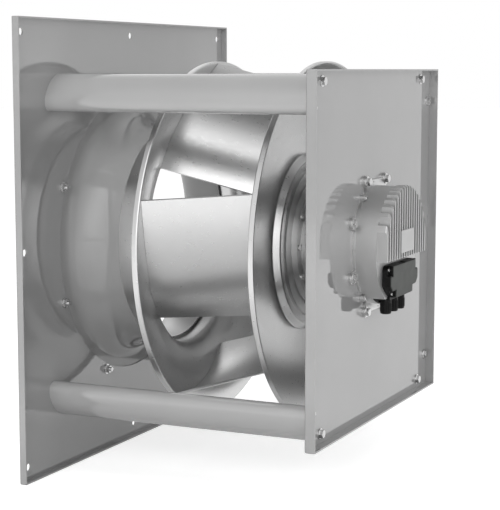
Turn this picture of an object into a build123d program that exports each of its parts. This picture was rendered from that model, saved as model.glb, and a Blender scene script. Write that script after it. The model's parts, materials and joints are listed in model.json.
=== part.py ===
from build123d import *
import math
import os

# Plug fan: a folded inlet plate with a nozzle, four oval struts and a motor plate
# carry an external rotor motor, and its rotor turns a backward-curved impeller.
# Millimetres. X is the fan axis from the inlet towards the motor, Z is up.
# The origin is the centre of the inlet plate's outer face.

# Inlet plate
inlet_side = 800.0
sheet = 3.0
inlet_rim_depth = 14.2
plate_bend_radius = 3.5
mounting_hole_inset = 25.0
mounting_hole_radius = 6.5

# Inlet nozzle
nozzle_sheet = 2.0
nozzle_flange_radius = 284.0
nozzle_screw_inset = 13.5
nozzle_opening_inset = 10.5
nozzle_bell_inset = 18.0
nozzle_bell_length = 88.0
nozzle_throat_radius = 195.0
nozzle_length = 100.0
nozzle_screw_count = 8
nozzle_screw_angle = 22.5

# Struts
strut_inset = 40.5
strut_width = 80.0
strut_depth = 47.0
strut_wall = 3.0
strut_channel_pitch = 60.0
strut_channel_radius = 4.05
strut_channel_boss_radius = 8.0

# Motor plate
motor_plate_x = 495.0
motor_plate_side = 624.0
motor_rim_depth = 19.0
motor_opening_inset = 5.0

# M8 fasteners
bolt_radius = 4.0
bolt_hole_radius = 4.5
bolt_head_flats = 13.0
bolt_head_height = 5.5
bolt_head_chamfer = 0.8
nut_height = 6.5
washer_radius = 9.5
washer_height = 1.6
countersink_radius = 7.5
countersink_clearance = 0.1
strut_screw_depth = 25.0
thread_end = 4.0

# Impeller
impeller_radius = 326.0
impeller_sheet = 3.0
shroud_inlet_x = 89.5
shroud_throat_radius = 201.2
shroud_inlet_bend = 44.0
shroud_outlet_bend = 146.0
shroud_cone_angle = 64.2
shroud_outlet_x = 194.0
shroud_rim_width = 10.0
rim_bend_radius = 2.5
disc_rim_x = 399.0
disc_rim_width = 10.0
disc_dish_radius = 158.5
disc_dish_x = 365.0
disc_bead_radius = 151.2
disc_bead_height = 3.5
disc_seat_radius = 149.2
disc_seat_x = 379.0
disc_bore_radius = 60.0
disc_bend_radius = 3.0
blade_count = 5
blade_thickness = 3.5
blade_camber = 0.10
blade_seat = 0.2

# Two points on each straight blade edge: X, depth inside the impeller's radius, angle
leading_front_x = 163.0
leading_front_inset = 99.9
leading_front_angle = 214.5
leading_back_x = 375.0
leading_back_inset = 153.3
leading_back_angle = 222.7
trailing_front_x = 193.0
trailing_front_inset = 4.0
trailing_front_angle = 163.5
trailing_back_x = 395.0
trailing_back_inset = 57.8
trailing_back_angle = 156.9

# Hub and rotor
rotor_radius = 100.0
rotor_wall = 7.0
rotor_end_wall = 8.0
rotor_length = 110.0
rotor_groove_width = 3.0
rotor_groove_depth = 2.5
rotor_boss_radius = 24.0
rotor_boss_gap = 2.0
hub_ring_radius = 115.0
hub_ring_width = 18.5
hub_flange_radius = 136.5
hub_flange_width = 7.0
hub_groove_width = 2.5
hub_groove_depth = 2.0
hub_fit = 0.1
clamp_ring_radius = 92.0
clamp_ring_height = 4.0
hub_screw_count = 8
hub_screw_circle_radius = 80.0
hub_screw_angle = 22.5
hub_screw_floor = 1.0
hub_rivet_count = 12
hub_rivet_circle_radius = 107.5
hub_rivet_radius = 2.5
magnet_thickness = 5.5
magnet_length = 60.0
magnet_count = 10
magnet_gap_angle = 3.0

# Shaft and bearings
shaft_radius = 12.45
shaft_fit = 0.05
shaft_end_length = 2.0
shaft_chamfer = 1.0
bearing_radius = 26.0
bearing_width = 15.0
bearing_ring_width = 3.0
bearing_seal_depth = 0.8
bearing_tube_wall = 6.0
bearing_tube_lead = 3.0
bearing_shoulder = 3.0
front_bearing_x = 405.0
rear_bearing_x = 480.0

# Stator
air_gap = 0.7
stator_x = 416.0
stator_length = 56.0
stator_tooth_count = 12
stator_tooth_width = 12.0
stator_shoe_height = 6.0
stator_slot_opening = 4.0
stator_yoke_radius = 50.0
stator_tooth_overlap = 1.0
coil_overhang = 8.0
coil_clearance = 0.3
coil_width = 4.7
coil_corner_radius = 4.2
coil_yoke_gap = 2.0

# Motor flange and electronics housing
flange_thickness = 4.5
flange_lip = 2.0
motor_bolt_count = 8
motor_bolt_angle = 22.5
motor_bolt_reach = 17.0
motor_ear_radius = 10.5
motor_ear_neck = 16.8
lug_bridge_rise = 2.0
lug_bridge_angles = (90.0, 270.0)
lug_hole_radius = 1.8
lug_hole_inset = 4.0
lug_hole_offset = 14.0
flange_notch_width = 5.0
flange_notch_depth = 2.0
flange_notch_angles = (0.0, 180.0)
housing_radius = 106.0
housing_face_x = 541.0
housing_wall = 4.0
housing_screw_angles = (53.0, 127.0, 233.0, 307.0)
housing_screw_reach = 5.0
housing_ear_radius = 5.5
housing_ear_height = 5.0
housing_screw_radius = 2.0
housing_screw_head_radius = 3.6
housing_screw_head_height = 3.0
housing_screw_head_chamfer = 1.0
fin_count = 17
fin_edge_inset = 6.0
fin_thickness = 4.5
fin_height = 20.0
fin_overhang = 1.5
fin_corner_radius = 5.0
fin_bottom_z = -19.0
pad_half_width = 33.0
pad_bottom_z = -9.5
pad_top_z = 30.0
pad_height = 21.5
board_thickness = 1.6
board_edge_gap = 2.0
cable_pocket_x = 524.5
cable_pocket_width = 88.0
cable_pocket_height = 14.0
board_post_height = 3.0
board_post_radius = 4.0
board_post_circle_radius = 88.0
board_post_angles = (15.0, 165.0, 205.0, 335.0)
capacitor_angles = (45.0, 75.0, 105.0, 135.0)
capacitor_circle_radius = 60.0
capacitor_radius = 11.0
capacitor_height = 20.0

# Terminal box
box_cut_depth = 16.0
box_entry_x = 518.0
box_entry_length = 28.0
box_skirt_length = 6.5
box_half_width = 72.5
box_top_z = -29.0
box_foot_step = 2.0
box_corner_inset = 9.0
box_corner_radius = 12.0
box_base_height = 6.0
box_lid_height = 9.4
box_lid_edge = 1.2
box_wall = 2.5
box_overlap = 1.0
box_passage_width = 70.0
box_passage_height = 8.0
box_post_radius = 5.8
box_post_floor = 1.0
box_notch_width = 10.0
box_notch_depth = 1.5
panel_height = 1.3
panel_inset = 1.6
top_screw_inset = 6.5
top_screw_drop = 7.0
bottom_screw_inset = 2.8
bottom_screw_height = 8.0
pocket_reach = 5.5
pocket_floor = 3.0
top_pocket_height = 16.5
cover_screw_radius = 1.6
cover_screw_head_radius = 3.2
cover_screw_head_height = 2.6
cover_screw_head_chamfer = 0.6
cover_screw_end_gap = 0.5

# Cable glands
gland_x = 535.0
gland_pitch = 35.0
gland_length = 26.0
gland_end_wall = 2.5
gland_thread_radius = 8.0
gland_cap_radius = 9.9
gland_cap_edge = 2.5
gland_collar_height = 3.5
gland_bore_radius = 4.0
gland_seal_radius = 6.5

# Places worked out from the sizes above
mounting_pitch = inlet_side - 2.0 * mounting_hole_inset
strut_offset = motor_plate_side / 2.0 - strut_inset
strut_channel_offset = strut_channel_pitch / 2.0
nozzle_screw_circle_radius = nozzle_flange_radius - nozzle_screw_inset
nozzle_opening_radius = nozzle_screw_circle_radius - nozzle_opening_inset
nozzle_bell_radius = nozzle_opening_radius - nozzle_bell_inset
flange_radius = housing_radius + flange_lip
motor_opening_radius = flange_radius - motor_opening_inset
motor_bolt_circle_radius = flange_radius + motor_bolt_reach
lug_reach = motor_bolt_circle_radius * math.cos(math.pi / motor_bolt_count) + lug_bridge_rise
lug_width = 2.0 * motor_bolt_circle_radius * math.sin(math.pi / motor_bolt_count)
housing_screw_circle_radius = housing_radius + housing_screw_reach
fin_envelope_radius = housing_radius + fin_overhang
fin_pitch = 2.0 * (housing_radius - fin_edge_inset) / (fin_count - 1)
box_cut_z = box_cut_depth - housing_radius
box_bottom_z = box_cut_z + box_foot_step
cavity_bottom_z = box_cut_z + cable_pocket_height + housing_wall
box_corner_circle_radius = housing_radius - box_corner_inset
gland_seat_z = box_cut_z - box_wall
gland_bottom_z = gland_seat_z - gland_length
box_entry_end_x = box_entry_x + box_entry_length
box_front_x = housing_face_x + box_base_height
panel_x = box_front_x + box_lid_height
top_screw_y = box_half_width - top_screw_inset
top_screw_z = box_top_z - top_screw_drop
bottom_screw_z = box_bottom_z + bottom_screw_height
bottom_screw_y = math.sqrt((box_corner_circle_radius - bottom_screw_inset) ** 2 - bottom_screw_z ** 2)
strut_length = motor_plate_x - sheet
motor_face_x = motor_plate_x + sheet
flange_face_x = motor_face_x + flange_thickness
rotor_face_x = disc_seat_x
rotor_inner_radius = rotor_radius - rotor_wall
magnet_inner_radius = rotor_inner_radius - magnet_thickness
stator_radius = magnet_inner_radius - air_gap
bearing_tube_radius = bearing_radius + bearing_tube_wall
gland_rows = (-gland_pitch, 0.0, gland_pitch)
strut_angles = [45.0 + 90.0 * i for i in range(4)]
quarter = {135.0: "near_top", 45.0: "far_top", 225.0: "near_bottom", 315.0: "far_bottom"}


def polar(radius, degrees):
    """Y and Z of a point at an angle about the fan axis."""
    angle = math.radians(degrees)
    return radius * math.cos(angle), radius * math.sin(angle)


def ring_places(count, radius, first_angle=0.0):
    """Y and Z of equally spaced points on a circle about the fan axis."""
    return [polar(radius, first_angle + 360.0 * i / count) for i in range(count)]


def prism(outline, x, length):
    """An outline drawn in Y and Z, extruded along X."""
    return Pos(x, 0, 0) * extrude(Plane.YZ * outline, length)


def rod(x, length, radius, y=0.0, z=0.0):
    """A round bar along X."""
    return Pos(x, y, z) * extrude(Plane.YZ * Circle(radius), length)


def tube(x, length, outer_radius, inner_radius):
    """A round tube about the fan axis."""
    return rod(x, length, outer_radius) - rod(x, length, inner_radius)


def turned(edges):
    """A closed outline of X against radius, revolved about the fan axis."""
    return revolve(make_face(edges), Axis.X)


def hexagon_head(x, height, flats, y, z):
    """A hexagonal head or nut blank along X, with its corners turned off."""
    corner_radius = flats / math.sqrt(3.0)
    blank = extrude(Plane.YZ * RegularPolygon(corner_radius, 6), height)
    return Pos(x, y, z) * (blank & chamfered_rod(height, corner_radius, bolt_head_chamfer))


def chamfered_rod(height, radius, edge):
    """A round bar from X = 0 with a chamfer on its +X end."""
    bar = extrude(Plane.YZ * Circle(radius), height)
    return chamfer(bar.edges().filter_by(GeomType.CIRCLE).sort_by(Axis.X)[-1], edge)


def strut_places():
    """Y, Z and long-side angle of each strut's centre."""
    reach = strut_offset * math.sqrt(2.0)
    return [(*polar(reach, angle), angle) for angle in strut_angles]


def strut_screw_places():
    """Y and Z of the two screws in each strut."""
    places = []
    for y, z, angle in strut_places():
        dy, dz = polar(strut_channel_offset, angle + 90.0)
        places += [(y + dy, z + dz), (y - dy, z - dz)]
    return places


def mounting_places():
    """Y and Z of the eight holes round the inlet plate's edge."""
    half = mounting_pitch / 2.0
    steps = (-half, 0.0, half)
    return [(y, z) for y in steps for z in steps if (y, z) != (0.0, 0.0)]


def folded_tray(x, side, depth):
    """A square sheet with its four rims folded towards +X and a rounded bend."""
    block = prism(Rectangle(side, side), x, depth)
    bend = block.faces().sort_by(Axis.X)[0].edges()
    block = fillet(bend, plate_bend_radius)
    inside = side - 2.0 * sheet
    return block - prism(Rectangle(inside, inside), x + sheet, depth)


def drill(body, places, x, length, radius):
    """Cut the same hole along X at each place."""
    for y, z in places:
        body -= rod(x, length, radius, y, z)
    return body


def inlet_plate():
    plate = folded_tray(0.0, inlet_side, inlet_rim_depth)
    plate -= rod(0.0, sheet, nozzle_opening_radius)
    plate = drill(plate, mounting_places(), 0.0, sheet, mounting_hole_radius)
    plate = drill(plate, nozzle_screw_places(), 0.0, sheet, bolt_hole_radius)
    for y, z in strut_screw_places():
        plate -= Pos(0, y, z) * countersink(countersink_radius)
    return plate


def countersink(radius):
    """The cone of a 90 degree countersunk head through one sheet, widest at X = 0."""
    small_radius = radius - sheet
    return turned([Line((0, 0), (0, radius)), Line((0, radius), (sheet, small_radius)),
                   Line((sheet, small_radius), (sheet, 0)), Line((sheet, 0), (0, 0))])


def bell_curve(offset):
    """Quarter ellipse of the nozzle's bell, from the flange to the throat."""
    length = nozzle_bell_length + offset
    drop = nozzle_bell_radius - nozzle_throat_radius - nozzle_sheet + offset
    centre = (nozzle_bell_length, nozzle_bell_radius)
    return EllipticalCenterArc(centre, length, drop, start_angle=180.0, arc_size=90.0)


def inlet_nozzle():
    back = bell_curve(0.0)
    flow = bell_curve(nozzle_sheet)
    lip_radius = nozzle_throat_radius + nozzle_sheet
    outline = [
        back, flow,
        Line(back @ 1, (nozzle_length, lip_radius)),
        Line((nozzle_length, lip_radius), (nozzle_length, nozzle_throat_radius)),
        Line((nozzle_length, nozzle_throat_radius), flow @ 1),
        Line(flow @ 0, (-nozzle_sheet, nozzle_flange_radius)),
        Line((-nozzle_sheet, nozzle_flange_radius), (0, nozzle_flange_radius)),
        Line((0, nozzle_flange_radius), back @ 0),
    ]
    nozzle = turned(outline)
    return drill(nozzle, nozzle_screw_places(), -nozzle_sheet, nozzle_sheet, bolt_hole_radius)


def nozzle_screw_places():
    return ring_places(nozzle_screw_count, nozzle_screw_circle_radius, nozzle_screw_angle)


def nozzle_screws():
    """Hexagon screws from the outside, with their heads on the nozzle's flange."""
    length = nozzle_sheet + sheet + washer_height + nut_height + thread_end
    screws = []
    head = mirror(hexagon_head(0, bolt_head_height, bolt_head_flats, 0, 0), about=Plane.YZ)
    for y, z in nozzle_screw_places():
        screws.append(Pos(-nozzle_sheet, y, z) * head + rod(-nozzle_sheet, length, bolt_radius, y, z))
    return screws


def nuts(x, places):
    """Washers and hexagon nuts that face +X, bored for the bolt's shank."""
    pieces = []
    for y, z in places:
        washer = rod(x, washer_height, washer_radius, y, z)
        nut = hexagon_head(x + washer_height, nut_height, bolt_head_flats, y, z)
        bore = rod(x, washer_height + nut_height, bolt_radius, y, z)
        pieces += [washer - bore, nut - bore]
    return pieces


def nozzle_nuts():
    return nuts(sheet, nozzle_screw_places())


def strut(y, z, angle):
    """An extruded oval tube with two screw channels, its long side across the radius."""
    outer = Ellipse(strut_width / 2.0, strut_depth / 2.0)
    inner = Ellipse(strut_width / 2.0 - strut_wall, strut_depth / 2.0 - strut_wall)
    sides = (Pos(strut_channel_offset, 0), Pos(-strut_channel_offset, 0))
    bosses = [side * Circle(strut_channel_boss_radius) for side in sides]
    channels = [side * Circle(strut_channel_radius) for side in sides]
    section = outer - (inner - bosses) - channels
    bar = prism(section, sheet, strut_length)
    return Pos(0, y, z) * Rot(angle + 90.0, 0, 0) * bar


def strut_inlet_screws():
    """Countersunk screws that leave the inlet plate's outer face flat."""
    screws = []
    for y, z in strut_screw_places():
        head = countersink(countersink_radius - countersink_clearance)
        screws.append(Pos(0, y, z) * (head + rod(0.0, strut_screw_depth, bolt_radius)))
    return screws


def strut_motor_bolts():
    """Hexagon bolts through washers on the motor plate."""
    bolts = []
    for y, z in strut_screw_places():
        seat = motor_face_x + washer_height
        head = hexagon_head(seat, bolt_head_height, bolt_head_flats, y, z)
        bolts.append(head + rod(seat - strut_screw_depth, strut_screw_depth, bolt_radius, y, z))
    return bolts


def strut_washers():
    return [rod(motor_face_x, washer_height, washer_radius, y, z)
            - rod(motor_face_x, washer_height, bolt_radius, y, z) for y, z in strut_screw_places()]


def motor_plate():
    plate = folded_tray(motor_plate_x, motor_plate_side, motor_rim_depth)
    plate -= rod(motor_plate_x, sheet, motor_opening_radius)
    plate = drill(plate, strut_screw_places(), motor_plate_x, sheet, bolt_hole_radius)
    return drill(plate, motor_bolt_places(), motor_plate_x, sheet, bolt_hole_radius)


def motor_bolt_places():
    return ring_places(motor_bolt_count, motor_bolt_circle_radius, motor_bolt_angle)


def motor_bolts():
    """Hexagon bolts through the flange's ears, with washers made on."""
    bolts = []
    for y, z in motor_bolt_places():
        washer = rod(flange_face_x, washer_height, washer_radius, y, z)
        head = hexagon_head(flange_face_x + washer_height, bolt_head_height, bolt_head_flats, y, z)
        grip = flange_thickness + sheet + washer_height + nut_height + thread_end
        bolts.append(washer + head + rod(flange_face_x - grip, grip, bolt_radius, y, z))
    return bolts


def motor_nuts():
    """Nuts and washers behind the motor plate, which face the impeller."""
    return [mirror(piece, about=Plane.YZ) for piece in nuts(-motor_plate_x, motor_bolt_places())]


def shroud_profile(offset):
    """The shroud's curve at an offset from its flow side: throat, bend, cone and outlet bend."""
    slope = math.radians(shroud_cone_angle)
    rise, run = math.sin(slope), math.cos(slope)
    outlet = shroud_outlet_bend
    inlet = shroud_inlet_bend
    outlet_centre = (shroud_outlet_x - outlet, impeller_radius)
    cone_end = (outlet_centre[0] + outlet * rise, outlet_centre[1] - outlet * run)
    cone_start_radius = shroud_throat_radius + inlet * (1.0 - run)
    cone_start_x = cone_end[0] - (cone_end[1] - cone_start_radius) * run / rise
    inlet_centre = (cone_start_x - inlet * rise, shroud_throat_radius + inlet)
    throat = Line((shroud_inlet_x, shroud_throat_radius + offset),
                  (inlet_centre[0], shroud_throat_radius + offset))
    bend = CenterArc(inlet_centre, inlet - offset, -90.0, shroud_cone_angle)
    outer = CenterArc(outlet_centre, outlet - offset, shroud_cone_angle - 90.0,
                      90.0 - shroud_cone_angle)
    return [throat, bend, Line(bend @ 1, outer @ 0), outer]


def circle_at(body, x, radius):
    """The circular edge about the fan axis that is nearest to a place."""
    circles = body.edges().filter_by(GeomType.CIRCLE)
    return circles.sort_by(lambda edge: math.hypot(edge.center().X - x, edge.radius - radius))[0]


def impeller_shroud():
    """Throat, cone and outlet in one sheet, with a rim folded back at the outlet."""
    flow = shroud_profile(0.0)
    back = shroud_profile(impeller_sheet)
    lip_x = shroud_outlet_x - shroud_rim_width
    lip_inner = impeller_radius - impeller_sheet
    shell = turned([*flow, *back, Line(flow[0] @ 0, back[0] @ 0), Line(flow[3] @ 1, back[3] @ 1)])
    lip_end = shroud_outlet_x - impeller_sheet / 2.0
    lip = tube(lip_x, lip_end - lip_x, impeller_radius, lip_inner)
    shroud = shell + lip
    return fillet(circle_at(shroud, shroud_outlet_x, impeller_radius), rim_bend_radius)


def side_step(a, b):
    """Unit vector to the left of the way from one point to another."""
    length = math.hypot(b[0] - a[0], b[1] - a[1])
    return (a[1] - b[1]) / length, (b[0] - a[0]) / length


def offset_points(points, distance):
    """The points of an open outline moved to its left, with mitred corners."""
    steps = [side_step(a, b) for a, b in zip(points, points[1:])]
    moved = []
    for (x, radius), (ax, ar), (bx, br) in zip(points, [steps[0], *steps], [*steps, steps[-1]]):
        share = distance / (1.0 + ax * bx + ar * br)
        moved.append((x + share * (ax + bx), radius + share * (ar + br)))
    return moved


def disc_front():
    """X and radius along the disc's flow side: rim, cone, raised bead and flat seat."""
    seat_front = disc_seat_x - impeller_sheet
    return [
        (disc_rim_x + disc_rim_width, impeller_radius),
        (disc_rim_x, impeller_radius),
        (disc_dish_x, disc_dish_radius),
        (seat_front + disc_bead_height, disc_bead_radius),
        (seat_front, disc_seat_radius),
        (seat_front, disc_bore_radius),
    ]


def impeller_disc():
    """Dished back disc with a rim folded back and a raised bead round the hub."""
    front = disc_front()
    back = offset_points(front, impeller_sheet)
    ends = [Line(front[0], back[0]), Line(front[-1], back[-1])]
    disc = turned([Polyline(*front), Polyline(*back), *ends])
    disc = fillet(circle_at(disc, *front[1]), rim_bend_radius)
    disc = fillet(circle_at(disc, *front[2]), disc_bend_radius + impeller_sheet)
    disc = fillet(circle_at(disc, *back[2]), disc_bend_radius)
    disc = fillet(circle_at(disc, *back[3]), disc_bend_radius)
    seat_front = disc_seat_x - impeller_sheet
    disc = drill(disc, hub_screw_places(), seat_front, impeller_sheet, bolt_radius)
    return drill(disc, hub_rivet_places(), seat_front, impeller_sheet, hub_rivet_radius)


def on_line(front_x, front, back_x, back, x):
    """Y and Z where a straight line through two points meets a plane of constant X."""
    share = (x - front_x) / (back_x - front_x)
    return front[0] + share * (back[0] - front[0]), front[1] + share * (back[1] - front[1])


def leading_edge(x):
    front = polar(impeller_radius - leading_front_inset, leading_front_angle)
    back = polar(impeller_radius - leading_back_inset, leading_back_angle)
    return on_line(leading_front_x, front, leading_back_x, back, x)


def trailing_edge(x):
    front = polar(impeller_radius - trailing_front_inset, trailing_front_angle)
    back = polar(impeller_radius - trailing_back_inset, trailing_back_angle)
    return on_line(trailing_front_x, front, trailing_back_x, back, x)


def blade_section(x):
    """A blade's curved sheet cut by a plane of constant X."""
    ay, az = leading_edge(x)
    by, bz = trailing_edge(x)
    cy, cz = by - ay, bz - az
    chord = math.hypot(cy, cz)
    ny, nz = -cz / chord, cy / chord
    bow = 2.0 * blade_camber * chord
    lines = []
    for side in (-blade_thickness / 2.0, blade_thickness / 2.0):
        start = (ay + ny * side, az + nz * side)
        middle = (ay + cy / 2.0 + ny * (side + bow), az + cz / 2.0 + nz * (side + bow))
        end = (by + ny * side, bz + nz * side)
        lines.append(Bezier(start, middle, end))
    low, high = lines
    face = make_face([low, high, Line(low @ 0, high @ 0), Line(low @ 1, high @ 1)])
    return Pos(x, 0, 0) * (Plane.YZ * face)


def blade_passage():
    """The space between shroud and disc that the blades fill."""
    flow = shroud_profile(-blade_seat)
    rim_x = disc_rim_x - blade_seat
    dish_x = disc_dish_x - blade_seat
    reach = impeller_radius + impeller_sheet
    inner = disc_dish_radius
    throat = flow[0] @ 0
    outlet = flow[3] @ 1
    return turned([
        *flow,
        Polyline((outlet.X, outlet.Y), (outlet.X, reach), (rim_x, reach), (rim_x, impeller_radius),
                 (dish_x, inner), (throat.X, inner), (throat.X, throat.Y)),
    ])


def impeller_blades():
    """Five ruled blades, trimmed to the shroud and the disc."""
    sheet_body = loft([blade_section(shroud_inlet_x), blade_section(disc_rim_x)], ruled=True)
    blade = sheet_body & blade_passage()
    return [Rot(360.0 * i / blade_count, 0, 0) * blade for i in range(blade_count)]


def hub_screw_places():
    return ring_places(hub_screw_count, hub_screw_circle_radius, hub_screw_angle)


def hub_rivet_places():
    return ring_places(hub_rivet_count, hub_rivet_circle_radius)


def hub_ring():
    """Flanged ring round the front of the rotor, riveted behind the disc."""
    flange_x = disc_seat_x + hub_flange_width
    collar_x = flange_x + hub_groove_width
    end_x = disc_seat_x + hub_ring_width
    groove_radius = hub_ring_radius - hub_groove_depth
    bore_radius = rotor_radius + hub_fit
    ring = turned(Polyline(
        (disc_seat_x, bore_radius), (disc_seat_x, hub_flange_radius), (flange_x, hub_flange_radius),
        (flange_x, groove_radius), (collar_x, groove_radius), (collar_x, hub_ring_radius),
        (end_x, hub_ring_radius), (end_x, bore_radius), (disc_seat_x, bore_radius)))
    return drill(ring, hub_rivet_places(), disc_seat_x, hub_ring_width, hub_rivet_radius)


def hub_rivets():
    """Rivets with low round heads on both sides."""
    rivets = []
    front_x = disc_seat_x - impeller_sheet
    back_x = disc_seat_x + hub_ring_width
    for y, z in hub_rivet_places():
        shank = rod(front_x, back_x - front_x, hub_rivet_radius, y, z)
        front_head = rod(front_x - hub_rivet_radius, hub_rivet_radius, 2.0 * hub_rivet_radius, y, z)
        back_head = rod(back_x, hub_rivet_radius, 2.0 * hub_rivet_radius, y, z)
        rivets.append(shank + front_head + back_head)
    return rivets


def clamp_ring():
    """Ring in front of the disc that the hub screws pull on."""
    x = disc_seat_x - impeller_sheet - clamp_ring_height
    ring = tube(x, clamp_ring_height, clamp_ring_radius, disc_bore_radius)
    return drill(ring, hub_screw_places(), x, clamp_ring_height, bolt_radius)


def hub_screws():
    """Screws from the inlet side through ring and disc into the rotor's end wall."""
    seat_x = disc_seat_x - impeller_sheet - clamp_ring_height
    length = clamp_ring_height + impeller_sheet + rotor_end_wall - hub_screw_floor
    head = mirror(hexagon_head(0, bolt_head_height, bolt_head_flats, 0, 0), about=Plane.YZ)
    screws = []
    for y, z in hub_screw_places():
        screws.append(Pos(seat_x, y, z) * head + rod(seat_x, length, bolt_radius, y, z))
    return screws


def rotor_bell():
    """The external rotor: a cup that is closed towards the inlet, with a groove behind the ring."""
    cup = rod(rotor_face_x, rotor_length, rotor_radius)
    inner_x = rotor_face_x + rotor_end_wall
    cup -= rod(inner_x, rotor_length, rotor_inner_radius)
    cup += rod(rotor_face_x, front_bearing_x - rotor_boss_gap - rotor_face_x, rotor_boss_radius)
    cup -= rod(rotor_face_x, rotor_length, shaft_radius)
    groove_x = disc_seat_x + hub_ring_width
    cup -= tube(groove_x, rotor_groove_width, rotor_radius, rotor_radius - rotor_groove_depth)
    blind_depth = rotor_end_wall - hub_screw_floor
    return drill(cup, hub_screw_places(), rotor_face_x, blind_depth, bolt_radius)


def rotor_magnets():
    """Curved magnets bonded inside the rotor's wall."""
    x = stator_x - (magnet_length - stator_length) / 2.0
    ring = tube(x, magnet_length, rotor_inner_radius, magnet_inner_radius)
    pitch = 360.0 / magnet_count
    reach = 2.0 * rotor_radius
    wedge = Polyline((0, 0), (reach, 0), polar(reach, pitch - magnet_gap_angle), (0, 0))
    segment = ring & prism(make_face(wedge), x, magnet_length)
    return [Rot(pitch * i, 0, 0) * segment for i in range(magnet_count)]


def shaft():
    """Shaft fixed in the rotor, with chamfered ends."""
    length = rear_bearing_x + bearing_width + shaft_end_length - rotor_face_x
    bar = rod(rotor_face_x, length, shaft_radius)
    return chamfer(bar.edges().filter_by(GeomType.CIRCLE), shaft_chamfer)


def bearing(x):
    """A sealed ball bearing whose seals sit back between its rings."""
    body = tube(x, bearing_width, bearing_radius, shaft_radius + shaft_fit)
    seal_outer = bearing_radius - bearing_ring_width
    seal_inner = shaft_radius + bearing_ring_width
    for seal_x in (x, x + bearing_width - bearing_seal_depth):
        body -= tube(seal_x, bearing_seal_depth, seal_outer, seal_inner)
    return body


def motor_flange():
    """Cast flange with bolt ears, two lugs, two locating notches and the bearing tube."""
    face = Circle(flange_radius)
    for y, z in motor_bolt_places():
        ear = Pos(y, z) * Circle(motor_ear_radius)
        neck_length = motor_bolt_circle_radius - flange_radius + motor_ear_radius
        neck_centre = motor_bolt_circle_radius - neck_length / 2.0
        angle = math.degrees(math.atan2(z, y))
        neck = Rot(0, 0, angle) * Pos(neck_centre, 0) * Rectangle(neck_length, motor_ear_neck)
        face += ear + neck
    for angle in lug_bridge_angles:
        turn = Rot(0, 0, angle)
        face += turn * Pos(lug_reach / 2.0, 0) * Rectangle(lug_reach, lug_width)
        face -= turn * Pos(lug_reach - lug_hole_inset, lug_hole_offset) * Circle(lug_hole_radius)
    for y, z in housing_screw_places():
        face += Pos(y, z) * Circle(housing_ear_radius)
    for angle in flange_notch_angles:
        notch = Rectangle(2.0 * flange_notch_depth, flange_notch_width)
        face -= Rot(0, 0, angle) * Pos(flange_radius, 0) * notch
    flange = prism(face, motor_face_x, flange_thickness)
    tube_x = front_bearing_x - bearing_tube_lead
    flange += rod(tube_x, motor_face_x - tube_x, bearing_tube_radius)
    flange -= rod(tube_x, flange_face_x - tube_x, bearing_radius - bearing_shoulder)
    flange -= rod(tube_x, front_bearing_x + bearing_width - tube_x, bearing_radius)
    flange -= rod(rear_bearing_x, flange_face_x - rear_bearing_x, bearing_radius)
    flange = drill(flange, motor_bolt_places(), motor_face_x, flange_thickness, bolt_hole_radius)
    return drill(flange, housing_screw_places(), motor_face_x, flange_thickness, housing_screw_radius)


def housing_screw_places():
    return [polar(housing_screw_circle_radius, angle) for angle in housing_screw_angles]


def stator_core():
    """Laminated core with teeth that widen into pole shoes."""
    section = Circle(stator_yoke_radius)
    pitch = 360.0 / stator_tooth_count
    shoe_inner = stator_radius - stator_shoe_height
    shoes = Circle(stator_radius) - Circle(shoe_inner)
    for i in range(stator_tooth_count):
        turn = Rot(0, 0, pitch * i)
        tooth = Pos(shoe_inner / 2.0 + stator_tooth_overlap, 0) * Rectangle(shoe_inner, stator_tooth_width)
        section += turn * tooth
        slot = Rot(0, 0, pitch * (i + 0.5)) * Pos(stator_radius, 0)
        shoes -= slot * Rectangle(4.0 * stator_shoe_height, stator_slot_opening)
    section = section + shoes
    section -= Circle(bearing_tube_radius)
    return prism(section, stator_x, stator_length)


def stator_windings():
    """One coil round each tooth."""
    hole_width = stator_tooth_width + 2.0 * coil_clearance
    hole_length = stator_length + 2.0 * coil_clearance
    width = hole_width + 2.0 * coil_width
    inner_radius = stator_yoke_radius + coil_yoke_gap
    shoe_inner = stator_radius - stator_shoe_height - coil_clearance
    outer_radius = math.sqrt(shoe_inner ** 2 - (width / 2.0) ** 2)
    height = outer_radius - inner_radius
    length = stator_length + 2.0 * coil_overhang
    middle_x = stator_x + stator_length / 2.0
    block = fillet(Box(length, height, width).edges().filter_by(Axis.Y), coil_corner_radius)
    coil = Pos(middle_x, inner_radius + height / 2.0, 0) * (block - Box(hole_length, height, hole_width))
    pitch = 360.0 / stator_tooth_count
    return [Rot(pitch * i, 0, 0) * coil for i in range(stator_tooth_count)]


def below(z):
    """Everything lower than a height, as a large outline in Y and Z."""
    size = 4.0 * housing_radius
    return Pos(0, z - size / 2.0) * Rectangle(size, size)


def electronics_housing():
    """Cast cup with cooling fins and a plain pad, cut below for the terminal box's cables."""
    body = rod(flange_face_x, housing_face_x - flange_face_x, housing_radius)
    for y, z in housing_screw_places():
        body += rod(flange_face_x, housing_ear_height, housing_ear_radius, y, z)
    body -= prism(below(box_cut_z), box_entry_x, housing_face_x - box_entry_x)
    cavity = Circle(housing_radius - housing_wall) - below(cavity_bottom_z)
    end_x = housing_face_x - housing_wall
    body -= prism(cavity, flange_face_x, end_x - flange_face_x)
    pocket = Pos(0, box_cut_z) * Rectangle(cable_pocket_width, 2.0 * cable_pocket_height)
    body -= prism(pocket, cable_pocket_x, housing_face_x - cable_pocket_x)
    for y, z in board_post_places():
        body += rod(end_x - board_post_height, board_post_height, board_post_radius, y, z)
    body += fins()
    body = drill(body, housing_screw_places(), flange_face_x, housing_ear_height, housing_screw_radius)
    return body


def board_post_places():
    return [polar(board_post_circle_radius, angle) for angle in board_post_angles]


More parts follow.
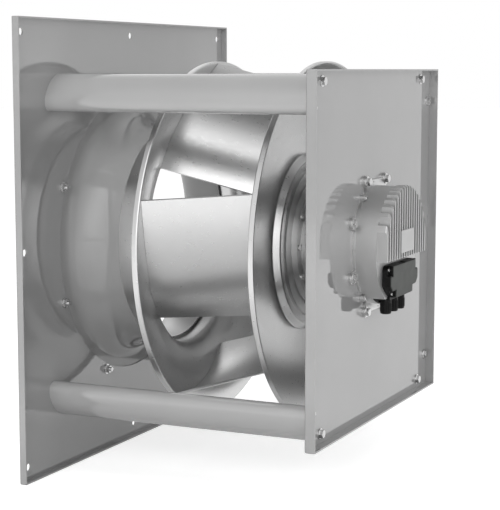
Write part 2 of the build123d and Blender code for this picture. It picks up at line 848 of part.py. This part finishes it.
def fins():
    """Upright fins trimmed to a round envelope, with a plain pad across the middle ones."""
    top_x = housing_face_x + fin_height
    corner = fin_corner_radius
    envelope = turned([
        Line((housing_face_x, 0), (housing_face_x, fin_envelope_radius)),
        Line((housing_face_x, fin_envelope_radius), (top_x - corner, fin_envelope_radius)),
        CenterArc((top_x - corner, fin_envelope_radius - corner), corner, 0.0, 90.0),
        Line((top_x, fin_envelope_radius - corner), (top_x, 0)),
        Line((top_x, 0), (housing_face_x, 0)),
    ])
    height = fin_envelope_radius - fin_bottom_z
    comb = Sketch()
    for i in range(fin_count):
        y = (i - (fin_count - 1) / 2.0) * fin_pitch
        comb += Pos(y, fin_bottom_z + height / 2.0) * Rectangle(fin_thickness, height)
    pad_size = (2.0 * pad_half_width, pad_top_z - pad_bottom_z)
    pad_centre = Pos(0, (pad_top_z + pad_bottom_z) / 2.0)
    pad = prism(pad_centre * Rectangle(*pad_size), housing_face_x, pad_height)
    return (prism(comb, housing_face_x, fin_height) & envelope) + pad


def housing_screws():
    """Small pan-head screws that hold the housing's ears to the flange."""
    seat_x = flange_face_x + housing_ear_height
    head_shape = chamfered_rod(housing_screw_head_height, housing_screw_head_radius,
                               housing_screw_head_chamfer)
    screws = []
    for y, z in housing_screw_places():
        head = Pos(seat_x, y, z) * head_shape
        shank = rod(motor_face_x, seat_x - motor_face_x, housing_screw_radius, y, z)
        screws.append(head + shank)
    return screws


def electronics_board():
    """Round circuit board on posts behind the end wall, with its tall capacitors."""
    board_x = housing_face_x - housing_wall - board_post_height - board_thickness
    outline = Circle(housing_radius - housing_wall - board_edge_gap)
    outline -= below(cavity_bottom_z + board_edge_gap)
    board = prism(outline, board_x, board_thickness)
    for angle in capacitor_angles:
        y, z = polar(capacitor_circle_radius, angle)
        board += rod(board_x - capacitor_height, capacitor_height, capacitor_radius, y, z)
    return board


def box_outline(inset=0.0):
    """The terminal box's outline: flat top, upright sides and lower corners on a circle."""
    height = box_top_z - box_bottom_z - 2.0 * inset
    middle = (box_top_z + box_bottom_z) / 2.0
    width = 2.0 * (box_half_width - inset)
    block = Pos(0, middle) * RectangleRounded(width, height, box_corner_radius - inset)
    return block & Circle(box_corner_circle_radius - inset)


def skirt_outline():
    """Lower part of the housing's round shape, which the base carries on in plastic."""
    return Circle(housing_radius) & below(box_cut_z)


def cover_screw_places():
    corners = ((top_screw_y, top_screw_z), (bottom_screw_y, bottom_screw_z))
    return [(side * y, z) for y, z in corners for side in (-1.0, 1.0)]


def pocket_outline(margin=0.0):
    """The four screw pockets, open towards the box's sides."""
    low_top = bottom_screw_z + pocket_reach
    high_top = top_screw_z + pocket_reach
    spans = ((top_screw_y, high_top - top_pocket_height, high_top),
             (bottom_screw_y, bottom_screw_z - pocket_reach, low_top))
    pockets = Sketch()
    for screw_y, bottom, top in spans:
        inner = screw_y - pocket_reach - margin
        outer = box_half_width + box_wall
        size = (outer - inner, top - bottom + 2.0 * margin)
        for side in (-1.0, 1.0):
            pockets += Pos(side * (inner + outer) / 2.0, (bottom + top) / 2.0) * Rectangle(*size)
    return pockets


def terminal_box():
    """Base with a skirt and a gland plate below the housing, and an open front for the lid."""
    box = prism(skirt_outline(), box_entry_x, box_skirt_length)
    box += prism(skirt_outline() - below(gland_seat_z), box_entry_x, housing_face_x - box_entry_x)
    foot_width = 2.0 * (gland_pitch + gland_cap_radius)
    foot_height = box_bottom_z + box_overlap - gland_seat_z
    foot = Pos(0, gland_seat_z + foot_height / 2.0) * Rectangle(foot_width, foot_height)
    box += prism(foot, housing_face_x, box_entry_end_x - housing_face_x)
    box += prism(box_outline(), housing_face_x, box_base_height)
    box -= prism(box_outline(box_wall), housing_face_x + box_wall, box_base_height)
    passage_z = box_bottom_z + box_wall + box_passage_height / 2.0
    passage = Pos(0, passage_z) * Rectangle(box_passage_width, box_passage_height)
    box -= prism(passage, housing_face_x, box_wall)
    posts = prism(box_outline(), housing_face_x, box_base_height)
    for y, z in cover_screw_places():
        box += rod(housing_face_x, box_base_height, box_post_radius, y, z) & posts
    screw_x = housing_face_x + box_post_floor
    box = drill(box, cover_screw_places(), screw_x, box_base_height, cover_screw_radius)
    for y in gland_rows:
        box -= upright(gland_x, y, gland_seat_z, box_wall, gland_thread_radius)
    return box


def terminal_lid():
    """Lid with a soft front edge, an open screw pocket at each corner and a notch on top."""
    lid = prism(box_outline(), box_front_x, box_lid_height)
    front_edges = lid.faces().sort_by(Axis.X)[-1].edges()
    lid = fillet(front_edges, box_lid_edge)
    solid_lid = lid
    lid -= prism(box_outline(box_wall), box_front_x, box_lid_height - box_wall)
    lid += prism(pocket_outline(box_wall), box_front_x, box_lid_height) & solid_lid
    lid -= prism(pocket_outline(), box_front_x + pocket_floor, box_lid_height)
    notch = Pos(0, box_top_z) * Rectangle(box_notch_width, 2.0 * box_notch_depth)
    lid -= prism(notch, box_front_x, box_lid_height)
    return drill(lid, cover_screw_places(), box_front_x, pocket_floor, cover_screw_radius)


def lid_panel():
    """Plain plate on the lid's front."""
    outline = box_outline(panel_inset) - pocket_outline(panel_inset)
    return prism(outline, panel_x, panel_height)


def cover_screws():
    """Small screws at the bottom of the lid's pockets."""
    x = box_front_x + pocket_floor
    head = chamfered_rod(cover_screw_head_height, cover_screw_head_radius, cover_screw_head_chamfer)
    shank_length = pocket_floor + box_base_height - box_post_floor - cover_screw_end_gap
    screws = []
    for y, z in cover_screw_places():
        screws.append(Pos(x, y, z) * head + rod(x - shank_length, shank_length, cover_screw_radius, y, z))
    return screws


def upright(x, y, z, height, radius):
    """A round bar along Z that starts at z."""
    return Pos(x, y, z) * Cylinder(radius, height, align=(Align.CENTER, Align.CENTER, Align.MIN))


def gland_bodies():
    """Hollow threaded stubs that screw into the box, each with a round collar."""
    bodies = []
    bottom = gland_bottom_z + gland_end_wall
    top = gland_seat_z + box_wall
    for y in gland_rows:
        body = upright(gland_x, y, bottom, top - bottom, gland_thread_radius)
        body += upright(gland_x, y, gland_seat_z - gland_collar_height, gland_collar_height,
                        gland_cap_radius)
        bodies.append(body - upright(gland_x, y, bottom, top - bottom, gland_seal_radius))
    return bodies


def gland_caps():
    """Round clamping caps with a soft lower edge."""
    caps = []
    top = gland_seat_z - gland_collar_height
    stem_bottom = gland_bottom_z + gland_end_wall
    for y in gland_rows:
        cap = upright(gland_x, y, gland_bottom_z, top - gland_bottom_z, gland_cap_radius)
        cap = fillet(cap.edges().filter_by(GeomType.CIRCLE).sort_by(Axis.Z)[0], gland_cap_edge)
        cap -= upright(gland_x, y, stem_bottom, top - stem_bottom, gland_thread_radius)
        caps.append(cap - upright(gland_x, y, gland_bottom_z, gland_end_wall, gland_bore_radius))
    return caps


def gland_seals():
    """Rubber sleeves that grip a cable."""
    bottom = gland_bottom_z + gland_end_wall
    height = gland_seat_z - bottom
    seals = []
    for y in gland_rows:
        seal = upright(gland_x, y, bottom, height, gland_seal_radius)
        seals.append(seal - upright(gland_x, y, bottom, height, gland_bore_radius))
    return seals


def write_node(name, shape):
    """Write one node as STEP; a list becomes one node of separate solids."""
    if isinstance(shape, list):
        shape = Compound(children=[piece.solid() for piece in shape])
    shape.label = name
    export_step(shape, os.path.join("parts", name + ".step"))


def main():
    os.makedirs("parts", exist_ok=True)
    nodes = {
        "inlet_plate": inlet_plate(),
        "inlet_nozzle": inlet_nozzle(),
        "nozzle_screws": nozzle_screws(),
        "nozzle_nuts": nozzle_nuts(),
        "strut_inlet_screws": strut_inlet_screws(),
        "strut_motor_bolts": strut_motor_bolts(),
        "strut_washers": strut_washers(),
        "motor_plate": motor_plate(),
        "motor_flange": motor_flange(),
        "motor_bolts": motor_bolts(),
        "motor_nuts": motor_nuts(),
        "bearing_front": bearing(front_bearing_x),
        "bearing_rear": bearing(rear_bearing_x),
        "stator_core": stator_core(),
        "stator_windings": stator_windings(),
        "electronics_housing": electronics_housing(),
        "housing_screws": housing_screws(),
        "electronics_board": electronics_board(),
        "terminal_box": terminal_box(),
        "terminal_lid": terminal_lid(),
        "lid_panel": lid_panel(),
        "cover_screws": cover_screws(),
        "gland_bodies": gland_bodies(),
        "gland_caps": gland_caps(),
        "gland_seals": gland_seals(),
        "impeller_shroud": impeller_shroud(),
        "impeller_disc": impeller_disc(),
        "hub_ring": hub_ring(),
        "hub_rivets": hub_rivets(),
        "clamp_ring": clamp_ring(),
        "hub_screws": hub_screws(),
        "rotor_bell": rotor_bell(),
        "rotor_magnets": rotor_magnets(),
        "shaft": shaft(),
    }
    for y, z, angle in strut_places():
        nodes["strut_" + quarter[angle]] = strut(y, z, angle)
    for i, blade in enumerate(impeller_blades()):
        nodes["blade_" + str(i + 1)] = blade
    for name, shape in nodes.items():
        write_node(name, shape)


main()
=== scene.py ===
import json
import math

import bpy
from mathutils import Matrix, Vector


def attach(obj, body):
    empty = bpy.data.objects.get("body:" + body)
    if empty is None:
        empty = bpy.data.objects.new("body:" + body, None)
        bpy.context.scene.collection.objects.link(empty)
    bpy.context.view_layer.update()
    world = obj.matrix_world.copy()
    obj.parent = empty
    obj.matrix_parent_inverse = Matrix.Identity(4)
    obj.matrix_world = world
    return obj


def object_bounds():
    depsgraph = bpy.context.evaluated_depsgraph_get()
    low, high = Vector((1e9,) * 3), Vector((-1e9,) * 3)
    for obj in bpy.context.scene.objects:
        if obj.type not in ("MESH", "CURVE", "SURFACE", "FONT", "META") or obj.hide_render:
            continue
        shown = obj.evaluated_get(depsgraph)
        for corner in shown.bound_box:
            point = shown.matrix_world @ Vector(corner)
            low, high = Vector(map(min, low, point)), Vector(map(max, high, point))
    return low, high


# Looks of the plug fan. Metres, in the frame of the CAD model: X is the fan axis from the
# inlet towards the motor, Z is up, and the near side is -Y.

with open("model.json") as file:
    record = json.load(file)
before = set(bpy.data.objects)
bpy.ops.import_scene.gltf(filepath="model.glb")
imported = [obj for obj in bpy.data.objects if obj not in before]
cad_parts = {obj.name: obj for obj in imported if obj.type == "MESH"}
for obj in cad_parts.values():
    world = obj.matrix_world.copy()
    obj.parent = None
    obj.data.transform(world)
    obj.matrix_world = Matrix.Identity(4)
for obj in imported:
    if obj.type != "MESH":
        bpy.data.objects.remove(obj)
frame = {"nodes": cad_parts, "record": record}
cad_low, cad_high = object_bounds()
nodes = frame["nodes"]

FAN_FRAME = "fan_frame"
fan_middle = (0.25, 0.0, 0.0)
white = (1.0, 1.0, 1.0, 1.0)

# Thread ridges on the ends of the nozzle screws, which sit on a circle round the axis. The
# screw angle is in degrees, and the half width is a share of the pitch.
nozzle_screw_count = 8
nozzle_screw_angle = 22.5
nozzle_screw_circle_radius = 0.2705
nozzle_screw_radius = 0.004
thread_start_x = 0.0111
thread_end_x = 0.0151
thread_pitch = 0.00125
thread_steps = 24
thread_root = -0.0001
thread_crest = 0.0002
thread_half_width = 0.45

# Painted shade for the drive recesses of the screws on the housing and on the terminal lid:
# dark patches that stand in for the shade inside the recesses, and reach from just under the
# screw's face to a hair over it. Angles are in degrees.
recess_sunk = 0.0002
recess_proud = 0.00008
housing_screw_circle_radius = 0.111
housing_screw_angles = (53.0, 127.0, 233.0, 307.0)
housing_screw_face_x = 0.5105
cover_screw_places = ((-0.066, -0.036), (0.066, -0.036), (-0.0497, -0.08), (0.0497, -0.08))
cover_screw_face_x = 0.5526

# Grip ribs round the caps of the cable glands
gland_x = 0.535
gland_places_y = (-0.035, 0.0, 0.035)
cap_radius = 0.0099
rib_count = 16
rib_low_z = -0.1145
rib_high_z = -0.0985
rib_height = 0.0006
rib_sunk = 0.0004
rib_half_foot = 0.0011
rib_half_crest = 0.0006

# Camera at the photograph's place, angles in radians, focal length in the picture's pixels
camera_place = (1.4355, -2.5563, 0.3113)
camera_azimuth = math.radians(24.815)
camera_elevation = math.radians(6.951)
focal_pixels = 1521.3
picture_height = 510.0

# Painted light and shade in the floor's reflections: a glow that only reflections see, as
# (distance from the glow's middle, level), with the distance as a share of the reach, and the
# middle measured from the fan's. It is dim near the middle, a painted shadow of the fan, and
# brighter further out, a painted pool of light. The camera sees one even lift instead.
glow_middle = (0.1, -0.45, 0.0)
glow_reach = 4.0
painted_glow_and_shade_levels = [(0.0, 0.03), (0.04, 0.03), (0.11, 0.2), (0.15, 0.42), (0.2, 0.5), (0.3, 0.37),
               (0.45, 0.42), (0.7, 0.57), (1.0, 0.55)]
floor_lift = 0.63

# Studio walls, as reflections see them: (Z of the direction, level)
wall_levels = [(0.0, 1.0), (0.03, 0.88), (0.1, 0.78), (0.35, 0.6), (0.7, 0.45), (0.85, 0.27),
               (0.95, 0.1), (1.0, 0.05)]

# Soft panels on the walls, as reflections see them, at the front, high at the front, high
# behind, and behind on the inlet's side: (direction, sharpness, strength)
panels = [
    ((0.2, -0.9, 0.36), 9.0, 1.7),
    ((0.0, -0.64, 0.77), 22.0, 1.45),
    ((0.0, 0.6, 0.8), 12.0, 0.7),
    ((-0.64, 0.64, 0.43), 36.0, 1.4),
]

# Light of the walls on matt surfaces: an even level, and one low panel at the front
even_light = 0.47
low_panel = ((0.5, -0.86, 0.0), 12.0, 0.7)

# The part of its range that a noise texture fills
noise_low = 0.3
noise_high = 0.7

# Scale of a texture that isn't drawn out in any direction
unstretched = (1.0, 1.0, 1.0)


# Shader helpers

def new_material(name):
    material = bpy.data.materials.new(name)
    material.use_nodes = True
    tree = material.node_tree
    return material, tree, tree.nodes["Principled BSDF"]


def add_node(tree, kind, **values):
    node = tree.nodes.new(kind)
    for key, value in values.items():
        setattr(node, key, value)
    return node


def feed(tree, terms, sockets):
    """Give each input its term: a link if it is another node's output, else a value."""
    for term, socket in zip(terms, sockets):
        if isinstance(term, bpy.types.NodeSocket):
            tree.links.new(term, socket)
        else:
            socket.default_value = term


def maths(tree, operation, *terms):
    node = add_node(tree, "ShaderNodeMath", operation=operation)
    feed(tree, terms, node.inputs)
    return node.outputs["Value"]


def vector_maths(tree, operation, result, *terms):
    node = add_node(tree, "ShaderNodeVectorMath", operation=operation)
    feed(tree, terms, node.inputs)
    return node.outputs[result]


def grey(level):
    return (level, level, level)


def object_coordinates(tree, stretch=unstretched):
    coordinates = add_node(tree, "ShaderNodeTexCoord")
    mapping = add_node(tree, "ShaderNodeMapping")
    mapping.inputs["Scale"].default_value = stretch
    tree.links.new(coordinates.outputs["Object"], mapping.inputs["Vector"])
    return mapping.outputs["Vector"]


def noise(tree, vector, scale, detail):
    texture = add_node(tree, "ShaderNodeTexNoise")
    texture.inputs["Scale"].default_value = scale
    texture.inputs["Detail"].default_value = detail
    texture.inputs["Roughness"].default_value = 0.55
    tree.links.new(vector, texture.inputs["Vector"])
    return texture.outputs["Fac"]


def noise_range(tree, value, low, high):
    """Number between low and high by a noise value."""
    node = add_node(tree, "ShaderNodeMapRange")
    node.inputs["From Min"].default_value = noise_low
    node.inputs["From Max"].default_value = noise_high
    node.inputs["To Min"].default_value = low
    node.inputs["To Max"].default_value = high
    tree.links.new(value, node.inputs["Value"])
    return node.outputs["Result"]


def colour_ramp(tree, value, stops):
    """Colour read off a list of (position, colour) stops."""
    node = add_node(tree, "ShaderNodeValToRGB")
    elements = node.color_ramp.elements
    while len(elements) < len(stops):
        elements.new(0.5)
    for element, (position, colour) in zip(elements, stops):
        element.position = position
        element.color = (*colour, 1.0)
    tree.links.new(value, node.inputs["Fac"])
    return node.outputs["Color"]


def level_ramp(tree, value, stops):
    """Grey level read off a list of (position, level) stops."""
    return colour_ramp(tree, value, [(position, grey(level)) for position, level in stops])


# Materials

def grained(name, dark, light, roughness, patches, grain, height, strength=1.0,
            metallic=0.0, shine=0.5, stretch=unstretched):
    """Surface with slow patches of tone, and a fine grain in its roughness and height.

    Patches and grain are each the scale and detail of a noise.
    """
    material, tree, shader = new_material(name)
    wide = noise(tree, object_coordinates(tree), *patches)
    fine = noise(tree, object_coordinates(tree, stretch), *grain)
    tone = colour_ramp(tree, wide, [(noise_low, dark), (noise_high, light)])
    tree.links.new(tone, shader.inputs["Base Color"])
    tree.links.new(noise_range(tree, fine, *roughness), shader.inputs["Roughness"])
    shader.inputs["Metallic"].default_value = metallic
    shader.inputs["Specular IOR Level"].default_value = shine
    bump = add_node(tree, "ShaderNodeBump")
    bump.inputs["Distance"].default_value = height
    bump.inputs["Strength"].default_value = strength
    tree.links.new(fine, bump.inputs["Height"])
    tree.links.new(bump.outputs["Normal"], shader.inputs["Normal"])
    return material


def sheet_metal(name, base, spread, roughness, metallic=1.0, shine=0.5,
                stretch=unstretched, patch_scale=5.0):
    """Smooth metal with a faint grain, drawn out where it was rolled or extruded."""
    return grained(name, grey(base - spread), grey(base + spread), roughness,
                   patches=(patch_scale, 4.0), grain=(260.0, 3.0), metallic=metallic,
                   shine=shine, stretch=stretch, height=0.000006, strength=0.15)


def cast_metal(name, base, roughness, metallic, height):
    """Metal with a fine cast skin."""
    spread = 0.02
    return grained(name, grey(base - spread), grey(base + spread), roughness,
                   patches=(18.0, 4.0), grain=(900.0, 4.0), metallic=metallic, height=height)


def moulded(name, base, roughness, height, shine=0.5):
    """Plastic, rubber or enamel with a fine grain."""
    dark, light = [tuple(share * level for level in base) for share in (0.85, 1.15)]
    return grained(name, dark, light, roughness, patches=(30.0, 3.0), grain=(1400.0, 3.0),
                   shine=shine, height=height)


# Materials by the record's slots, and one dark material of painted shade for the screws' drive
# recesses
materials = {
    "sheet_steel": sheet_metal("galvanised_sheet", base=0.375, spread=0.01, metallic=0.2,
                               roughness=(0.03, 0.05), stretch=(1.0, 1.0, 0.05), shine=1.0),
    "nozzle_sheet": sheet_metal("nozzle_sheet", base=0.37, spread=0.01, metallic=0.05,
                                roughness=(0.05, 0.09), shine=0.4),
    "strut_aluminium": sheet_metal("strut_aluminium", base=0.44, spread=0.01, metallic=0.15,
                                   roughness=(0.08, 0.12), stretch=(0.04, 1.0, 1.0)),
    "impeller_aluminium": sheet_metal("impeller_aluminium", base=0.68, spread=0.012,
                                      roughness=(0.27, 0.33), stretch=(0.25, 1.0, 1.0)),
    "machined_aluminium": sheet_metal("machined_aluminium", base=0.62, spread=0.02,
                                      roughness=(0.3, 0.38), patch_scale=40.0),
    "fastener": sheet_metal("bright_zinc", base=0.62, spread=0.03, roughness=(0.1, 0.18),
                            patch_scale=90.0),
    "rivet_aluminium": sheet_metal("rivet_aluminium", base=0.72, spread=0.02,
                                   roughness=(0.2, 0.3), patch_scale=90.0),
    "bearing_steel": sheet_metal("bearing_steel", base=0.7, spread=0.02,
                                 roughness=(0.08, 0.16), patch_scale=60.0),
    "core_steel": sheet_metal("core_steel", base=0.2, spread=0.02, roughness=(0.35, 0.5),
                              stretch=(30.0, 1.0, 1.0), patch_scale=60.0),
    "rotor_steel": sheet_metal("rotor_steel", base=0.6, spread=0.015, metallic=0.9,
                               roughness=(0.26, 0.34), patch_scale=25.0),
    "shaft_steel": sheet_metal("shaft_steel", base=0.62, spread=0.02, roughness=(0.1, 0.18),
                               patch_scale=60.0),
    "magnet": cast_metal("magnet", base=0.12, roughness=(0.35, 0.5), metallic=0.9,
                         height=0.00002),
    "cast_aluminium": cast_metal("motor_casting", base=0.53, roughness=(0.4, 0.48),
                                 metallic=0.8, height=0.000008),
    "copper": moulded("enamelled_copper", base=(0.45, 0.16, 0.06), roughness=(0.2, 0.3),
                      height=0.00004),
    "circuit_board": moulded("circuit_board", base=(0.03, 0.14, 0.07),
                             roughness=(0.25, 0.4), height=0.00002),
    "black_plastic": moulded("black_plastic", base=(0.006, 0.006, 0.006),
                             roughness=(0.4, 0.5), height=0.00001, shine=0.15),
    "grey_plastic": moulded("grey_plastic", base=(0.085, 0.089, 0.085),
                            roughness=(0.5, 0.6), height=0.00001, shine=0.2),
    "seal_rubber": moulded("seal_rubber", base=(0.02, 0.02, 0.02), roughness=(0.55, 0.7),
                           height=0.00003),
    # Painted shade: a near-black material for the screws' drive recesses, standing in for the
    # shade inside them
    "recess_shade": cast_metal("painted_recess_shade", base=0.05, roughness=(0.4, 0.5), metallic=0.5,
                         height=0.000008),
}

slot_of = {part["node"]: part["material_slot"] for part in frame["record"]["subparts"]}
for name, node in nodes.items():
    node.data.materials.clear()
    node.data.materials.append(materials[slot_of[name]])


# Fine detail on the fasteners and cable glands

def mesh_object(name, points, faces, material):
    """Piece that stands still with the fan's frame."""
    mesh = bpy.data.meshes.new(name)
    mesh.from_pydata(points, [], faces)
    mesh.validate()
    mesh.shade_flat()
    piece = bpy.data.objects.new(name, mesh)
    bpy.context.scene.collection.objects.link(piece)
    mesh.materials.append(material)
    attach(piece, FAN_FRAME)


def on_circle(angles, radius):
    """Places (Y, Z) on a circle round the fan axis."""
    turns = [math.radians(angle) for angle in angles]
    return [(radius * math.cos(turn), radius * math.sin(turn)) for turn in turns]


def threads(name, places):
    """Helical ridges round screw ends that point along X."""
    profile = ((thread_root, -thread_half_width), (thread_crest, 0.0),
               (thread_root, thread_half_width))
    length = thread_end_x - thread_start_x - thread_pitch
    count = int(length / thread_pitch * thread_steps)
    points, faces = [], []
    for y, z in places:
        first = len(points)
        for i in range(count + 1):
            turn = 2.0 * math.pi * i / thread_steps
            middle = thread_start_x + thread_pitch * (0.5 + i / thread_steps)
            for rise, along in profile:
                reach = nozzle_screw_radius + rise
                points.append((middle + along * thread_pitch, y + reach * math.cos(turn),
                               z + reach * math.sin(turn)))
        for i in range(count):
            a = first + 3 * i
            for j in range(3):
                k = (j + 1) % 3
                faces.append((a + j, a + k, a + 3 + k, a + 3 + j))
        faces.append((first, first + 2, first + 1))
        last = first + 3 * count
        faces.append((last, last + 1, last + 2))
    mesh_object(name, points, faces, materials["fastener"])


def lobed_outline(radius, depth, arms, steps=5):
    """Outline of a lobed drive, (Y, Z) from its middle."""
    count = 2 * arms * steps
    outline = []
    for i in range(count):
        turn = 2.0 * math.pi * i / count
        reach = radius - depth * (0.5 - 0.5 * math.cos(arms * turn))
        outline.append((reach * math.cos(turn), reach * math.sin(turn)))
    return outline


def recess_shades(name, face_x, places, outline):
    """Dark patches of painted shade in the faces of small screws, where their drive recesses
    are.
    """
    points, faces = [], []
    size = len(outline)
    for y, z in places:
        first = len(points)
        for x in (face_x - recess_sunk, face_x + recess_proud):
            points += [(x, y + dy, z + dz) for dy, dz in outline]
        faces.append(tuple(first + i for i in reversed(range(size))))
        faces.append(tuple(first + size + i for i in range(size)))
        for i in range(size):
            j = (i + 1) % size
            faces.append((first + i, first + j, first + size + j, first + size + i))
    mesh_object(name, points, faces, materials["recess_shade"])


def grip_ribs(name):
    """Upright ribs round the cable glands' caps, sloped at both ends."""
    slopes = ((rib_low_z, 0.0), (rib_low_z + rib_height, 1.0), (rib_high_z - rib_height, 1.0),
              (rib_high_z, 0.0))
    foot_radius = cap_radius - rib_sunk
    points, faces = [], []
    for y in gland_places_y:
        for i in range(rib_count):
            turn = 2.0 * math.pi * (i + 0.5) / rib_count
            out = Vector((math.cos(turn), math.sin(turn), 0.0))
            side = Vector((-math.sin(turn), math.cos(turn), 0.0))
            centre = Vector((gland_x, y, 0.0))
            first = len(points)
            for z, rise in slopes:
                foot = centre + out * foot_radius
                crest = centre + out * (foot_radius + (rib_height + rib_sunk) * rise)
                for place, half in ((foot, -rib_half_foot), (crest, -rib_half_crest),
                                    (crest, rib_half_crest), (foot, rib_half_foot)):
                    spot = place + side * half
                    points.append((spot.x, spot.y, z))
            for level in range(3):
                a = first + 4 * level
                for j in range(4):
                    k = (j + 1) % 4
                    faces.append((a + j, a + k, a + 4 + k, a + 4 + j))
            faces.append((first, first + 3, first + 2, first + 1))
            faces.append((first + 12, first + 13, first + 14, first + 15))
    mesh_object(name, points, faces, materials["black_plastic"])


nozzle_screw_angles = [nozzle_screw_angle + 360.0 * i / nozzle_screw_count
                       for i in range(nozzle_screw_count)]
threads("nozzle_screw_threads", on_circle(nozzle_screw_angles, nozzle_screw_circle_radius))
# Painted shade: dark patches on the screw faces where the drive recesses are
recess_shades("housing_screw_recess_shades", housing_screw_face_x,
         on_circle(housing_screw_angles, housing_screw_circle_radius),
         lobed_outline(radius=0.0019, depth=0.0005, arms=6))
recess_shades("cover_screw_recess_shades", cover_screw_face_x, cover_screw_places,
         lobed_outline(radius=0.002, depth=0.0013, arms=4))
grip_ribs("gland_grip_ribs")


# Camera. The sensor's width goes with the picture's longer side, which is its height.
camera_data = bpy.data.cameras.new("camera")
camera = bpy.data.objects.new("camera", camera_data)
bpy.context.scene.collection.objects.link(camera)
camera_data.sensor_width = 36.0
camera_data.lens = focal_pixels * camera_data.sensor_width / picture_height
camera_data.clip_start = 0.05
camera_data.clip_end = 60.0
look = Vector((-math.sin(camera_azimuth) * math.cos(camera_elevation),
               math.cos(camera_azimuth) * math.cos(camera_elevation),
               -math.sin(camera_elevation)))
camera.location = camera_place
camera.rotation_mode = "QUATERNION"
camera.rotation_quaternion = look.to_track_quat("-Z", "Y")
bpy.context.scene.camera = camera


# Floor and light

def make_floor():
    """Pale floor that takes the fan's shadow, and carries a painted glow with a painted shadow
    in it that only reflections see.
    """
    bpy.ops.mesh.primitive_circle_add(vertices=96, radius=25.0, fill_type="NGON")
    floor = bpy.context.object
    floor.name = "floor"
    floor.location = (fan_middle[0], fan_middle[1], cad_low.z)
    material, tree, shader = new_material("floor_paper")
    patches = noise(tree, object_coordinates(tree), scale=3.0, detail=3.0)
    tone = colour_ramp(tree, patches, [(noise_low, grey(0.85)), (noise_high, grey(0.87))])
    tree.links.new(tone, shader.inputs["Base Color"])
    shader.inputs["Roughness"].default_value = 0.9
    shader.inputs["Specular IOR Level"].default_value = 0.1
    shader.inputs["Emission Color"].default_value = white
    # Painted reflection: the floor glows for glossy rays only, dim near the fan as painted
    # shade and brighter further out as painted light
    share = 1.0 / glow_reach
    offset = vector_maths(tree, "SUBTRACT", "Vector",
                          object_coordinates(tree, (share, share, 1.0)),
                          [share * place for place in glow_middle])
    distance = vector_maths(tree, "LENGTH", "Value", offset)
    rays = add_node(tree, "ShaderNodeLightPath").outputs
    painted_reflection_light = maths(tree, "MULTIPLY", rays["Is Glossy Ray"],
                 level_ramp(tree, distance, painted_glow_and_shade_levels))
    tree.links.new(maths(tree, "MULTIPLY_ADD", rays["Is Camera Ray"], floor_lift, painted_reflection_light),
                   shader.inputs["Emission Strength"])
    floor.data.materials.append(material)


def soft_panel(tree, direction, middle, sharpness, strength):
    """Level that is highest towards the panel's middle and fades out round it."""
    facing = vector_maths(tree, "DOT_PRODUCT", "Value", direction, Vector(middle).normalized())
    narrowed = maths(tree, "POWER", maths(tree, "MAXIMUM", facing, 0.0), sharpness)
    return maths(tree, "MULTIPLY", narrowed, strength)


def background(tree, strength):
    node = add_node(tree, "ShaderNodeBackground")
    feed(tree, (white, strength), (node.inputs["Color"], node.inputs["Strength"]))
    return node.outputs["Background"]


def choose(tree, factor, otherwise, chosen):
    """One shader where the factor is 1, the other where it is 0."""
    mix = add_node(tree, "ShaderNodeMixShader")
    feed(tree, (factor, otherwise, chosen), mix.inputs)
    return mix.outputs["Shader"]


def make_world():
    """White to the camera, walls and panels to reflections, soft light to the rest."""
    world = bpy.data.worlds.new("studio")
    bpy.context.scene.world = world
    world.use_nodes = True
    tree = world.node_tree
    tree.nodes.clear()
    direction = add_node(tree, "ShaderNodeTexCoord").outputs["Generated"]
    split = add_node(tree, "ShaderNodeSeparateXYZ")
    tree.links.new(direction, split.inputs["Vector"])
    mirrored = level_ramp(tree, split.outputs["Z"], wall_levels)
    for panel in panels:
        mirrored = maths(tree, "ADD", mirrored, soft_panel(tree, direction, *panel))
    lighting = maths(tree, "ADD", soft_panel(tree, direction, *low_panel), even_light)
    rays = add_node(tree, "ShaderNodeLightPath").outputs
    mirror_rays = maths(tree, "MAXIMUM", rays["Is Glossy Ray"], rays["Is Transmission Ray"])
    unseen = choose(tree, mirror_rays, background(tree, lighting), background(tree, mirrored))
    surface = choose(tree, rays["Is Camera Ray"], unseen, background(tree, 1.0))
    output = add_node(tree, "ShaderNodeOutputWorld")
    tree.links.new(surface, output.inputs["Surface"])


def softbox(name, place, size, power):
    """Lamp towards the fan, which reflections don't show."""
    data = bpy.data.lights.new(name, "AREA")
    data.shape = "RECTANGLE"
    data.size, data.size_y = size
    data.energy = power
    lamp = bpy.data.objects.new(name, data)
    lamp.location = place
    lamp.visible_glossy = False
    lamp.rotation_mode = "QUATERNION"
    lamp.rotation_quaternion = (Vector(fan_middle) - Vector(place)).to_track_quat("-Z", "Y")
    bpy.context.scene.collection.objects.link(lamp)


make_floor()
make_world()
softbox("key", place=(1.05, -4.4, 1.15), size=(3.0, 2.3), power=80.0)
softbox("fill", place=(3.1, 0.85, 0.8), size=(2.0, 1.6), power=15.5)
softbox("overhead", place=(-0.2, -0.2, 2.8), size=(2.2, 1.6), power=29.0)

scene = bpy.context.scene
scene.view_settings.view_transform = "Standard"
